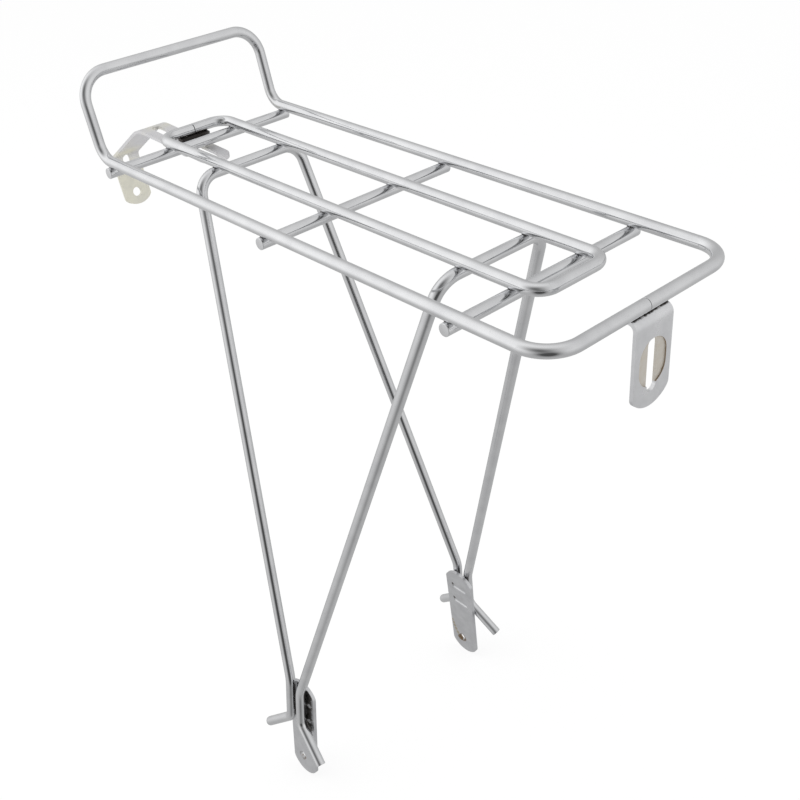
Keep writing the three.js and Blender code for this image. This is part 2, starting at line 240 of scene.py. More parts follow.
def rod_material():
    """Bright plate over drawn rod: soft lengthwise lines, clouding, pits, and darkening at the welds: scorch
    with painted contact shadow.
    """
    material, tree = empty_material("polished_rod")
    uv = add(tree, "UVMap", uv_map="rod").outputs[0]
    place = add(tree, "TexCoord").outputs["Object"]
    stretched = add(tree, "Mapping", {"Vector": uv, "Scale": ROD_LINES}).outputs[0]
    lines = noise_at(tree, stretched, 1.0, 3.0)
    clouds = noise_at(tree, place, 70.0)
    grain = noise_at(tree, place, 2600.0, 2.0)
    pits = remap(tree, noise_at(tree, place, 420.0, 1.0), *PITS, 0.0, 1.0)
    heat = add(tree, "Attribute", attribute_name="heat").outputs["Fac"]
    tint = mix_colour(tree, remap(tree, clouds, 0.35, 0.68, 0.0, 0.8), ROD_COLOUR, ROD_SHADE)
    tint = mix_colour(tree, math_node(tree, "MULTIPLY", pits, 0.35), tint, PLATE_SHADE)
    # painted contact shadow and weld scorch round the welds, made patchy
    patchy_darkening = math_node(tree, "MULTIPLY", heat, remap(tree, grain, *MOST_NOISE, 0.75, 1.2))
    darkened = remap(tree, patchy_darkening, *DARKENING_SHOWS, 0.0, COVER, smooth=True)
    colour = mix_colour(tree, darkened, tint, SCORCH_AND_SHADE)
    rough = remap(tree, clouds, *MOST_NOISE, *ROD_ROUGH)
    rough = math_node(tree, "ADD", rough, math_node(tree, "MULTIPLY", heat, 0.25))
    height = math_node(tree, "ADD", lines, math_node(tree, "MULTIPLY", grain, 0.5))
    height = math_node(tree, "SUBTRACT", height, math_node(tree, "MULTIPLY", pits, 0.8))
    finish_material(tree, colour, rough, height, bump=0.25, depth=0.00001)
    return material


def near_spot(tree, place, speckle, centre, reach):
    """Output socket that is 1 near a point and fades out raggedly at reach metres from it."""
    offset = add(tree, "VectorMath", {0: place, 1: centre}, operation="SUBTRACT").outputs[0]
    distance = add(tree, "VectorMath", {0: offset}, operation="LENGTH").outputs["Value"]
    wander = remap(tree, speckle, *MOST_NOISE, -SPOT_RAGGED * reach, SPOT_RAGGED * reach)
    ragged = math_node(tree, "ADD", distance, wander)
    return remap(tree, ragged, reach * (1 - SPOT_FADE), reach, 1.0, 0.0, smooth=True)


def facing_out(tree, place):
    """Output socket that is 1 on faces looking away from the rack's middle plane, 0 on those looking in."""
    y = add(tree, "SeparateXYZ", {0: place}).outputs["Y"]
    normal_y = add(tree, "SeparateXYZ", {0: add(tree, "TexCoord").outputs["Normal"]}).outputs["Y"]
    outward = math_node(tree, "MULTIPLY", math_node(tree, "SIGN", y), normal_y)
    return remap(tree, outward, *LOOKS_OUT, 0.0, 1.0)


def plate_material(name, spots=(), colour=PLATE_COLOUR, shade=PLATE_SHADE, outside=None):
    """Plated sheet: satin, with rolling grain and clouding.

    Spots are (point, reach, colour) of rust, dirt, weld burns, weld beads or painted shade. Where outside is
    given, only faces that look away from the rack's middle plane take spots of that colour.
    """
    material, tree = empty_material(name)
    place = add(tree, "TexCoord").outputs["Object"]
    clouds = noise_at(tree, place, 110.0)
    rolled = add(tree, "Mapping", {"Vector": place, "Scale": ROLLING}).outputs[0]
    grain = noise_at(tree, rolled, 1.0, 3.0)
    speckle = noise_at(tree, place, 900.0, 3.0)
    tint = mix_colour(tree, remap(tree, clouds, 0.35, 0.7, 0.0, 0.85), colour, shade)
    rough = remap(tree, clouds, *MOST_NOISE, *PLATE_ROUGH)
    outward = facing_out(tree, place)
    for centre, reach, spot_colour in spots:
        marked = math_node(tree, "MULTIPLY", near_spot(tree, place, speckle, centre, reach), COVER)
        if spot_colour == outside:
            marked = math_node(tree, "MULTIPLY", marked, outward)
        tint = mix_colour(tree, marked, tint, spot_colour)
        rough = math_node(tree, "ADD", rough, math_node(tree, "MULTIPLY", marked, 0.2))
    height = math_node(tree, "ADD", grain, math_node(tree, "MULTIPLY", speckle, 0.6))
    finish_material(tree, tint, rough, height, bump=0.3, depth=0.000012)
    return material


def zinc_material():
    """Pale passivated zinc: cream drifting to lilac, slightly chalky."""
    material, tree = empty_material("zinc_strip")
    place = add(tree, "TexCoord").outputs["Object"]
    tongue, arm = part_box("front_stay")[0].z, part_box("front_stay")[1].z
    height = add(tree, "SeparateXYZ", {0: place}).outputs["Z"]
    upward = remap(tree, height, tongue, arm, -ZINC_DRIFT, ZINC_DRIFT)
    drift = math_node(tree, "ADD", noise_at(tree, place, 26.0, 2.0), upward)
    clouds = noise_at(tree, place, 160.0)
    grain = noise_at(tree, place, 2200.0, 3.0)
    colour = mix_colour(tree, remap(tree, drift, 0.40, 0.62, 0.0, 1.0, smooth=True), CREAM, LILAC)
    colour = mix_colour(tree, remap(tree, clouds, 0.4, 0.75, 0.0, 0.25), colour, PLATE_SHADE)
    rough = remap(tree, clouds, *MOST_NOISE, *ZINC_ROUGH)
    relief = math_node(tree, "ADD", grain, clouds)
    finish_material(tree, colour, rough, relief, metallic=0.7, bump=0.3, depth=0.000014)
    return material


def pad_material(name, colour):
    """A dull film in the bracket's recess, blotched with the plate's own colour."""
    material, tree = empty_material(name)
    place = add(tree, "TexCoord").outputs["Object"]
    blotch = noise_at(tree, place, 300.0)
    tint = mix_colour(tree, remap(tree, blotch, *MOST_NOISE, 0.0, 0.3), colour, PLATE_COLOUR)
    finish_material(tree, tint, PAD_ROUGH, blotch, metallic=0.35, bump=0.2, depth=0.00003)
    return material


def weld_and_shade_material():
    """Burnt weld metal, dark partly as painted contact shadow where pieces meet: scaly and dull with a few
    bright beads.
    """
    material, tree = empty_material("weld_metal_and_shade")
    place = add(tree, "TexCoord").outputs["Object"]
    scales = noise_at(tree, place, 1500.0, 4.0, 0.7)
    # the nuggets' dark colour is partly painted contact shadow
    colour = mix_colour(tree, remap(tree, scales, 0.45, 0.75, 0.0, 0.55), SCORCH_AND_SHADE, PLATE_SHADE)
    rough = remap(tree, scales, *MOST_NOISE, *WELD_ROUGH)
    finish_material(tree, colour, rough, scales, metallic=0.9, bump=0.6, depth=0.0001)
    return material


# ---- mesh helpers --------------------------------------------------------------------------------


RUN_STEP = 3.0
ROD_SIDES = 36
BEND_STEP = math.radians(3)
SHARP_ANGLE = math.radians(40)
END_STEPS = 5
END_REACH = {"cut": 0.35, "dome": 0.6 * ROD_R, "seam": 0.12}     # how far back from its end a rod is rounded
SEAM_RING = 2.5              # a seam has one more ring, this many reaches back
SEAM_REACH = 0.4             # burnt this far to each side of the seam's middle
# reach of the rods' darkening round a weld: scorch with painted contact shadow
DARKENING_REACH = 2.3


def linked(name, data):
    """A new object in the scene."""
    thing = bpy.data.objects.new(name, data)
    bpy.context.scene.collection.objects.link(thing)
    return thing


def new_piece(name, mesh_data, materials, body, stands_for=None):
    """Puts a mesh in the scene, rides it on a body and hides the CAD node it stands for, if any."""
    piece = linked(name, mesh_data)
    for material in materials:
        mesh_data.materials.append(material)
    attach(piece, body)
    if stands_for:
        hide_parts(stands_for)
    return piece


def bend_stations(corners, radii):
    """Points and directions along straight runs joined by arcs of the given radii."""
    stations = [(corners[0], (corners[1] - corners[0]).normalized())]
    for before, corner, after, radius in zip(corners, corners[1:], corners[2:], radii):
        arriving = (corner - before).normalized()
        leaving = (after - corner).normalized()
        turn = arriving.angle(leaving)
        start = corner - arriving * radius * math.tan(turn / 2)
        axis = arriving.cross(leaving).normalized()
        centre = start + axis.cross(arriving) * radius
        count = max(2, math.ceil(turn / BEND_STEP))
        for k in range(count + 1):
            spin = Matrix.Rotation(turn * k / count, 3, axis)
            stations.append((centre + spin @ (start - centre), spin @ arriving))
    stations.append((corners[-1], (corners[-1] - corners[-2]).normalized()))
    return stations


def fill_runs(stations):
    """Adds stations along the straight runs, so that darkening near a weld, scorch with painted shadow, has
    vertices to sit on.
    """
    filled = [stations[0]]
    for (a, _), (b, direction) in zip(stations, stations[1:]):
        count = max(1, round((b - a).length / RUN_STEP))
        filled += [(a.lerp(b, k / count), direction) for k in range(1, count)]
        filled.append((b, direction))
    return filled


def end_rings(style):
    """(distance back from the end, share of the radius) of the rings that round a rod's end."""
    reach = END_REACH[style]
    rings = [(SEAM_RING * reach, 1.0)] if style == "seam" else []
    for k in range(END_STEPS + 1):
        angle = math.pi / 2 * k / END_STEPS
        rings.append((reach * (1 - math.sin(angle)), 1 - (reach / ROD_R) * (1 - math.cos(angle))))
    return rings


def rod_rings(stations, ends):
    """(centre, direction, radius) of every ring of a rod, with its two ends shaped."""
    (start, leaving), (stop, arriving) = stations[0], stations[-1]
    head = [(start + leaving * back, leaving, ROD_R * share) for back, share in end_rings(ends[0])[::-1]]
    middle = [(point, direction, ROD_R) for point, direction in stations[1:-1]]
    tail = [(stop - arriving * back, arriving, ROD_R * share) for back, share in end_rings(ends[1])]
    return head + middle + tail


def rod_mesh(name, corners, radii, ends):
    """A bent rod in the rack's millimetres: rings of vertices with a map of distance round and along."""
    rings = rod_rings(fill_runs(bend_stations(corners, radii)), ends)
    mesh = bmesh.new()
    uv = mesh.loops.layers.uv.new("rod")
    side = rings[0][1].orthogonal().normalized()
    loops, lengths, travelled, last = [], [], 0.0, rings[0][0]
    for centre, direction, radius in rings:
        side = (side - direction * side.dot(direction)).normalized()
        across = direction.cross(side)
        travelled += (centre - last).length * MM
        last = centre
        lengths.append(travelled)
        loops.append([
            mesh.verts.new(at(*(centre + (side * math.cos(a) + across * math.sin(a)) * radius)))
            for a in (2 * math.pi * k / ROD_SIDES for k in range(ROD_SIDES))
        ])
    for ring, (lower, upper) in enumerate(zip(loops, loops[1:])):
        for k in range(ROD_SIDES):
            after = (k + 1) % ROD_SIDES
            face = mesh.faces.new((lower[k], lower[after], upper[after], upper[k]))
            marks = ((k, ring), (k + 1, ring), (k + 1, ring + 1), (k, ring + 1))
            for loop, (around, row) in zip(face.loops, marks):
                loop[uv].uv = (around / ROD_SIDES, lengths[row])
    mesh.faces.new(loops[0][::-1])
    mesh.faces.new(loops[-1])
    return to_mesh(name, mesh)


def to_mesh(name, mesh, sharp=SHARP_ANGLE):
    """Turns a bmesh into a smooth mesh with its sharp edges marked."""
    bmesh.ops.recalc_face_normals(mesh, faces=mesh.faces)
    for edge in mesh.edges:
        edge.smooth = len(edge.link_faces) == 2 and edge.calc_face_angle(0.0) < sharp
    for face in mesh.faces:
        face.smooth = True
    data = bpy.data.meshes.new(name)
    mesh.to_mesh(data)
    mesh.free()
    return data


def store_darkening(mesh_data, welds, seam_y):
    """Stores the darkening attribute, weld scorch with painted contact shadow: how near each vertex is to a
    weld, or 1 beside a seam.
    """
    heat = mesh_data.attributes.new("heat", "FLOAT", "POINT")
    for vertex in mesh_data.vertices:
        nearest = min((vertex.co - weld).length for weld in welds) / MM
        in_seam = seam_y is not None and abs(vertex.co.y - seam_y) < SEAM_REACH * MM
        heat.data[vertex.index].value = 1.0 if in_seam else math.exp(-((nearest / DARKENING_REACH) ** 2))


def mirrored(left, radii):
    """Corners and radii of a rod that runs from its left end over to the right."""
    right = [Vector((p.x, -p.y, p.z)) for p in reversed(left)]
    return left + right, radii + radii[::-1]


# ---- rods ----------------------------------------------------------------------------------------


def outer_corners():
    """The outer rod from its seam in the rear bar round the deck and over the hoop."""
    left = [
        Vector((0, 0, 0)),
        Vector((0, OUTER_HALF, 0)),
        Vector((HOOP_BASE_X, OUTER_HALF, 0)),
        Vector((HOOP_TOP.x, OUTER_HALF, HOOP_TOP.z)),
    ]
    return mirrored(left, [BEND_R["rear_corner"], BEND_R["hoop_base"], BEND_R["hoop_top"]])


def loop_corners():
    """The inner loop from the seam in its front bar round its rear bar."""
    left = [
        Vector((LOOP_FRONT, 0, 0)),
        Vector((LOOP_FRONT, LOOP_HALF, 0)),
        Vector((LOOP_REAR, LOOP_HALF, 0)),
    ]
    return mirrored(left, [BEND_R["loop"], BEND_R["loop"]])


def leg_corners(end):
    """A leg hoop from its left stub over its top bar to its right stub."""
    (stub_x, stub_z), (hook_x, hook_z), (kink_x, kink_z) = STUB_END[end], HOOK[end], KINK[end]
    left = [
        Vector((stub_x, STUB_HALF, stub_z)),
        Vector((hook_x, foot_half_at(hook_z), hook_z)),
        Vector((kink_x, foot_half_at(kink_z), kink_z)),
        Vector((LEG_TOP_X[end], LEG_TOP_HALF, UNDER_Z + WELD_SINK)),
    ]
    return mirrored(left, [BEND_R["hook"], BEND_R["kink"], BEND_R["leg_top"]])


def foot_rod_x(end, z):
    """Where a leg's rod passes a height between its kink and its hook."""
    (kink_x, kink_z), (hook_x, hook_z) = KINK[end], HOOK[end]
    return kink_x + (hook_x - kink_x) * (z - kink_z) / (hook_z - kink_z)


CROSSING_NUGGET = (2.1, 2.1, 1.2)        # rough half sizes of the weld nuggets
RIDGE_NUGGET = (2.2, 1.1, 1.6)
FLANGE_NUGGET = (0.8, 1.3, 0.5)
TAB_NUGGET = (1.5, 2.2, 0.9)
PLATE_TOP_DARKENING = (-338, -344)            # heights at which the legs are darkened above the ridges' welds: scorch with painted contact shadow where they lie against the plates


def weld_points():
    """(centre, rough half size) of every weld, in the rack's millimetres."""
    points = []
    between = UNDER_Z / 2
    for side in SIDES:
        for x in CROSS_X.values():
            points.append((Vector((x, side * OUTER_HALF, between)), CROSSING_NUGGET))
        for x in [*CROSS_X.values(), *LEG_TOP_X.values()]:
            points.append((Vector((x, side * LOOP_HALF, between)), CROSSING_NUGGET))
        for end in ("front", "rear"):
            for z in RIDGE_Z:
                x, y = foot_rod_x(end, z), foot_half_at(z) - ROD_R
                points.append((Vector((x, side * y, z)), RIDGE_NUGGET))
    for y in FLANGE_BEADS:
        points.append((Vector((FLANGE_WELD_X, y, -ROD_R)), FLANGE_NUGGET))
    for side in SIDES:
        points.append((Vector((LOOP_FRONT, side * TAB_WELD_Y, -ROD_R)), TAB_NUGGET))
    return points


def rod_plans():
    """(corners, radii of the bends, styles of the two ends) of each of the seven rods, by CAD node."""
    seams = ("seam", "seam")
    plans = {"outer_frame": (*outer_corners(), seams), "inner_loop": (*loop_corners(), seams)}
    for end, x in CROSS_X.items():
        z = UNDER_Z + WELD_SINK
        run = [Vector((x, CROSS_HALF, z)), Vector((x, -CROSS_HALF, z))]
        plans[f"cross_rod_{end}"] = (run, [], ("cut", "cut"))
    plans["leg_hoop_front"] = (*leg_corners("front"), ("dome", "dome"))
    plans["leg_hoop_rear"] = (*leg_corners("rear"), ("cut", "cut"))
    return plans


def open_seam(corners, middle, gap):
    """Moves a closed rod's two ends apart, and returns where its seam is across the rack, in metres."""
    corners[0].y = middle + gap / 2
    corners[-1].y = middle - gap / 2
    return at(0, middle, 0).y


def build_rods(welds):
    """All seven rods, as fine meshes in place of the CAD's."""
    material = rod_material()
    darkened_points = [at(*point) for point, _ in welds]
    # the legs darken where they lie against the foot plates: scorch with painted contact shadow
    for side in SIDES:
        darkened_points += [at(foot_rod_x(end, z), side * (foot_half_at(z) - ROD_R), z)
                for end in ("front", "rear") for z in PLATE_TOP_DARKENING]
    for node, (corners, radii, ends) in rod_plans().items():
        seam = open_seam(corners, *SEAMS[node]) if node in SEAMS else None
        data = rod_mesh(f"{node}_rod", corners, radii, ends)
        store_darkening(data, darkened_points, seam)
        new_piece(f"{node}_rod", data, [material], "frame", node)


# ---- welds ---------------------------------------------------------------------------------------


NUGGET_RAGGED = 0.35         # how far a nugget departs from an ellipsoid
NUGGET_NOISE = 2.1           # repeats of its raggedness to a half size
NUGGET_SHIFT = 7.3           # makes each nugget's raggedness its own


def build_welds(welds):
    """Small ragged nuggets squeezed out where two pieces are welded."""
    mesh = bmesh.new()
    for number, (centre, half) in enumerate(welds):
        lump = bmesh.ops.create_icosphere(mesh, subdivisions=3, radius=1.0)["verts"]
        for vertex in lump:
            sample = vertex.co * NUGGET_NOISE + Vector((number * NUGGET_SHIFT, 0, 0))
            ragged = 1 + NUGGET_RAGGED * noise.noise(sample)
            vertex.co = at(*(centre + Vector(a * b for a, b in zip(vertex.co * ragged, half))))
    data = to_mesh("weld_nuggets", mesh)
    new_piece("weld_nuggets", data, [weld_and_shade_material()], "frame")


# ---- plates --------------------------------------------------------------------------------------

EASED_ANGLE = math.radians(28)
EASED_SEGMENTS = 2
FLAT_ANGLE = math.radians(1)
MERGE_WITHIN = 0.01

EYELET_DROP, EYELET_FORWARD = 12, 2.5                # from a foot's mount to its eyelet
PLATE_T = 2.4
GROOVE_FRONT_X = 215.5
# dark spots round and between the legs on the feet's outer faces: weld scorch with painted shade
DARK_LEVELS = range(-344, -384, -5)
DARK_BEHIND_LEG, DARK_BEHIND_REACH = 3.4, 4.6
DARK_BETWEEN_REACH = 4.4
BEAD_BEHIND_LEG, BEAD_REACH = 4.2, 2.2
# painted shade at the front end of each groove, a little above its middle line
GROOVE_SHADE_UP, GROOVE_SHADE_REACH = 1.2, 1.7
EYELET_RUST_REACH = 4.2
EYELET_STAIN = (                                     # forward and down of the eyelet, reach, colour
    (2.6, 1.6, 3.2, RUST),
    (5.2, -2.5, 2.0, DIRT),
    (6.8, -5.5, 1.8, DIRT),
    (7.9, -8.5, 1.7, DIRT),
    (8.7, -11.5, 1.5, DIRT),
    (9.4, -14.5, 1.2, DIRT),
)

PAD_DEPTH = 0.7                                      # the bracket's recessed pad
PAD_TOP = -14.0
PAD_WITHIN = 11
FLANGE_DARK_COUNT = 9                                     # dark spots to each side of the middle of the flange: weld burn with painted contact shadow under the rear bar
FLANGE_DARK_INSET = 1.5
FLANGE_DARK_REACH = 1.6
FLANGE_BEAD_X, FLANGE_BEAD_REACH = -1.6, 1.4


def eased(node, width, materials, body):
    """A copy of a CAD plate with its edges eased, standing for that node."""
    mesh = bmesh.new()
    mesh.from_mesh(frame["nodes"][node].data)
    bmesh.ops.remove_doubles(mesh, verts=mesh.verts, dist=MERGE_WITHIN * MM)
    bmesh.ops.join_triangles(
        mesh, faces=mesh.faces, angle_face_threshold=FLAT_ANGLE, angle_shape_threshold=math.pi)
    data = to_mesh(f"{node}_fine", mesh, EASED_ANGLE)
    piece = new_piece(f"{node}_fine", data, materials, body, node)
    bevel = piece.modifiers.new("eased_edges", "BEVEL")
    bevel.width = width * MM
    bevel.segments = EASED_SEGMENTS
    bevel.limit_method = "ANGLE"
    bevel.angle_limit = EASED_ANGLE
    bevel.harden_normals = True
    return piece


def foot_burns_and_shade(side):
    """Spots on one foot plate: darkened outside round and between the legs, weld scorch with painted shade;
    bright where its ridges are welded; painted shade at each groove's front end.
    """
    def on_face(x, z, deeper=0.0):
        return at(x, side * (foot_half_at(z) - ROD_R - deeper), z)

    spots = []
    # weld scorch with painted shade on the outer face
    for z in DARK_LEVELS:
        behind = on_face(foot_rod_x("rear", z) - DARK_BEHIND_LEG, z)
        spots.append((behind, DARK_BEHIND_REACH * MM, SCORCH_AND_SHADE))
        if z > HOOK["front"][1]:
            between = (foot_rod_x("rear", z) + foot_rod_x("front", z)) / 2
            spots.append((on_face(between, z), DARK_BETWEEN_REACH * MM, SCORCH_AND_SHADE))
    for z in RIDGE_Z:
        bead = on_face(foot_rod_x("rear", z) - BEAD_BEHIND_LEG, z)
        # painted shade in the groove's front end
        groove = on_face(GROOVE_FRONT_X, z + GROOVE_SHADE_UP, PLATE_T)
        spots.append((bead, BEAD_REACH * MM, BEAD))
        spots.append((groove, GROOVE_SHADE_REACH * MM, GROOVE_END_SHADE))
    return spots


def foot_dirt(side, eyelet, down):
    """Rust in an eyelet; on the right foot also a stain beside it and a streak up the plate's front edge."""
    forward = Vector((1, 0, 0))
    spots = [(eyelet, EYELET_RUST_REACH * MM, RUST)]
    if side < 0:
        for ahead, fall, reach, colour in EYELET_STAIN:
            spots.append((eyelet + (forward * ahead + down * fall) * MM, reach * MM, colour))
    return spots


def build_feet():
    """Both foot plates."""
    for side, hand in zip(SIDES, ("left", "right")):
        node = f"foot_plate_{hand}"
        point, normal = mount(f"foot_{hand}")
        down = Vector((side, 0, 0)).cross(normal)
        eyelet = point + down * EYELET_DROP * MM + Vector((EYELET_FORWARD * MM, 0, 0))
        spots = foot_burns_and_shade(side) + foot_dirt(side, eyelet, down)
        material = plate_material(f"{node}_metal", spots, outside=SCORCH_AND_SHADE)
        eased(node, 0.35, [material], "frame")


def coat_recess(mesh_data):
    """Gives the floor of the bracket's recess the film, material 1, and its wall the rim, material 2."""
    rear = from_bar(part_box("reflector_bracket")[0]).x
    for face in mesh_data.polygons:
        centre = from_bar(face.center)
        if centre.z > PAD_TOP or abs(centre.y) > PAD_WITHIN:
            continue
        insets = [from_bar(mesh_data.vertices[i].co).x - rear for i in face.vertices]
        if min(insets) > 0.9 * PAD_DEPTH and face.normal.x < 0.5:
            face.material_index = 1
        elif 0.5 * PAD_DEPTH < max(insets) < 1.1 * PAD_DEPTH:
            face.material_index = 2


def build_bracket():
    """The reflector bracket, with a beige film in its recess, and burns with painted contact shadow under
    the rear bar.
    """
    half = from_bar(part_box("reflector_bracket")[1]).y - FLANGE_DARK_INSET
    along = [half * k / FLANGE_DARK_COUNT for k in range(-FLANGE_DARK_COUNT, FLANGE_DARK_COUNT + 1)]
    # weld burns with painted contact shadow along the flange under the rear bar
    weld_marks_and_shade = [(at(FLANGE_WELD_X, y, -ROD_R), FLANGE_DARK_REACH * MM, SCORCH_AND_SHADE) for y in along]
    weld_marks_and_shade += [(at(FLANGE_BEAD_X, y, -ROD_R), FLANGE_BEAD_REACH * MM, BEAD) for y in FLANGE_BEADS]
    metal = plate_material("bracket_metal", weld_marks_and_shade, BRACKET_COLOUR, PLATE_COLOUR)
    film = pad_material("pad_film", PAD_COLOUR)
    rim = pad_material("pad_rim", PAD_RIM)
    piece = eased("reflector_bracket", 0.25, [metal, film, rim], "frame")
    coat_recess(piece.data)


# ---- clamp fasteners -----------------------------------------------------------------------------

FASTENER_SIDES = 72
THREAD_PITCH, THREAD_DEPTH = 1.0, 0.35
CHAMFER_STEPS = (0.0, 0.12, 0.24, 0.36, 0.5)
CHAMFER_START, CHAMFER_SLOPE = 0.97, 1.9             # share of the apothem at the end, widening from there
FASTENER_SHARP = math.radians(25)
BORE_R = 3.2
SAME_LEVEL = 0.01
WASHER_RIM = 0.3
THREAD_STEPS = 8                                     # rings to one turn of the thread
PLAIN_STEPS = 3                                      # rings left out before the screw's tip
TIP_CHAMFER = 0.3


def clamp_axis():
    """Point and direction of the clamp screw's axis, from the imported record."""
    joint = next(j for j in frame["record"]["behaviour"]["joints"] if j["name"] == "stay_swivel")
    return Vector(joint["pos_m"]), Vector(joint["axis"]).normalized()


def spokes(node):
    """(height in millimetres, spoke in metres) of a node's vertices, along and out from the clamp axis."""
    origin, axis = clamp_axis()
    places = []
    for vertex in frame["nodes"][node].data.vertices:
        height = (vertex.co - origin).dot(axis)
        places.append((height / MM, (vertex.co - origin) - axis * height))
    return places


def axial_levels(node):
    """Heights along the clamp axis, in millimetres, between which a node's solid changes section."""
    heights = sorted(height for height, _ in spokes(node))
    return [h for h, lower in zip(heights, [-math.inf] + heights) if h - lower > SAME_LEVEL]


def widest(node):
    """(distance in millimetres, direction) of a node's farthest vertex from the clamp axis."""
    far = max((spoke for _, spoke in spokes(node)), key=lambda spoke: spoke.length)
    return far.length / MM, far.normalized()


def lathe(name, node, rings, closed):
    """A body round the clamp axis, from rings of (height, function from angle to radius).

    A closed body has its last ring joined to its first; an open one is capped at both ends.
    """
    origin, axis = clamp_axis()
    start = widest(node)[1]
    across = axis.cross(start)
    mesh = bmesh.new()
    loops = []
    for height, radius_at in rings:
        loops.append([])
        for k in range(FASTENER_SIDES):
            angle = 2 * math.pi * k / FASTENER_SIDES
            spoke = start * math.cos(angle) + across * math.sin(angle)
            loops[-1].append(mesh.verts.new(origin + (axis * height + spoke * radius_at(angle)) * MM))
    following = loops[1:] + loops[:1] if closed else loops[1:]
    for lower, upper in zip(loops, following):
        for k in range(FASTENER_SIDES):
            after = (k + 1) % FASTENER_SIDES
            mesh.faces.new((lower[k], lower[after], upper[after], upper[k]))
    if not closed:
        mesh.faces.new(loops[0][::-1])
        mesh.faces.new(loops[-1])
    return to_mesh(name, mesh, FASTENER_SHARP)


def hexagon(corner, limit=math.inf):
    """Radius of a hexagon with a corner at angle 0, turned down to a limit as by a chamfering tool."""
    apothem = corner * math.cos(math.pi / 6)

    def radius_at(angle):
        return min(apothem / math.cos((angle % (math.pi / 3)) - math.pi / 6), limit)

    return radius_at


def circle(radius):
    """Radius of a circle."""
    return lambda angle: radius


def chamfered_hexagon(low, high, corner, ends):
    """Rings of a hexagon between two heights, chamfered at the low end, the high end or both."""
    narrowest = corner * math.cos(math.pi / 6) * CHAMFER_START
    chamfer = [(step, hexagon(corner, narrowest + step * CHAMFER_SLOPE)) for step in CHAMFER_STEPS]
    square = [(0.0, hexagon(corner))]
    lower = chamfer if "low" in ends else square
    upper = chamfer[::-1] if "high" in ends else square
    return [(low + step, shape) for step, shape in lower] + [(high - step, shape) for step, shape in upper]


def thread(height, crest):
    """Radius of a right-handed screw thread at a height."""
    def radius_at(angle):
        phase = (height / THREAD_PITCH - angle / (2 * math.pi)) % 1
        return crest - THREAD_DEPTH * abs(2 * phase - 1)

    return radius_at


def nut_mesh():
    """A plain hexagon nut, chamfered at both ends."""
    low, *_, high = axial_levels("stay_nut")
    outside = chamfered_hexagon(low, high, widest("stay_nut")[0], ("low", "high"))
    bore = [(high, circle(BORE_R)), (low, circle(BORE_R))]
    return lathe("stay_nut_turned", "stay_nut", outside + bore, True)


def washer_mesh():
    """A stamped washer, rounded over at its lower rim."""
    low, *_, high = axial_levels("stay_washer")
    outer = widest("stay_washer")[0]
    halfway = WASHER_RIM * 0.3
    rim = [(low, circle(outer - WASHER_RIM)), (low + halfway, circle(outer - halfway)),
           (low + WASHER_RIM, circle(outer))]
    rest = [(high, circle(outer)), (high, circle(BORE_R)), (low, circle(BORE_R))]
    return lathe("stay_washer_turned", "stay_washer", rim + rest, True)


def screw_mesh():
    """A hexagon-headed screw, head down, with a rolled thread and a chamfered tip."""
    low, under_head, *_, tip = axial_levels("stay_screw")
    shank = min(spoke.length / MM for height, spoke in spokes("stay_screw") if height > tip - SAME_LEVEL)
    rings = chamfered_hexagon(low, under_head, widest("stay_screw")[0], ("low",))
    step = THREAD_PITCH / THREAD_STEPS
    for k in range(int((tip - under_head) / step) - PLAIN_STEPS):
        height = under_head + step * k
        rings.append((height, thread(height, shank)))
    root = shank - THREAD_DEPTH
    rings += [(tip - TIP_CHAMFER, circle(root)), (tip, circle(root - TIP_CHAMFER))]
    return lathe("stay_screw_turned", "stay_screw", rings, False)


# ---- stay and clamp ------------------------------------------------------------------------------

# dark spots on the tab: weld burn with painted shade beneath the loop's front bar
TAB_DARK_BEHIND = 2          # behind the middle of the loop's front bar
TAB_DARK_BELOW = 1.2         # below the bar's lowest line
TAB_DARK_REACH = 4.6
TAB_DARK_PLACES = range(-7, 12, 3)


def build_stay(fastener):
    """The stay and the clamp that holds it."""
    eased("front_stay", 0.35, [zinc_material()], "stay")
    x, z = LOOP_FRONT - TAB_DARK_BEHIND, -ROD_R - TAB_DARK_BELOW
    weld_marks_and_shade = [(at(x, y, z), TAB_DARK_REACH * MM, TAB_BURN_AND_SHADE) for y in TAB_DARK_PLACES]
    eased("stay_tab", 0.3, [plate_material("tab_metal", weld_marks_and_shade)], "frame")
    new_piece("stay_nut_turned", nut_mesh(), [fastener], "frame", "stay_nut")
    new_piece("stay_washer_turned", washer_mesh(), [fastener], "clamp", "stay_washer")
    new_piece("stay_screw_turned", screw_mesh(), [fastener], "clamp", "stay_screw")


# ---- studio --------------------------------------------------------------------------------------

CAMERA_AT = (-259.2, 368.0, 242.9)
CAMERA_LOOK = Vector((0.637919, -0.543111, -0.545976))
CAMERA_UP = Vector((0.367102, -0.408771, 0.835549))
CAMERA_LENS = 50.84


def build_camera():
    """A normal lens behind and above the rack's left rear corner, leaning a little."""
    data = bpy.data.cameras.new("camera")
    data.lens = CAMERA_LENS
    data.sensor_width = 36
    data.clip_start = 0.01
    camera = linked("camera", data)
    right = CAMERA_LOOK.cross(CAMERA_UP).normalized()
    up = right.cross(CAMERA_LOOK).normalized()
    turn = Matrix((right, up, -CAMERA_LOOK)).transposed().to_4x4()
    camera.matrix_world = Matrix.Translation(at(*CAMERA_AT)) @ turn
    bpy.context.scene.camera = camera


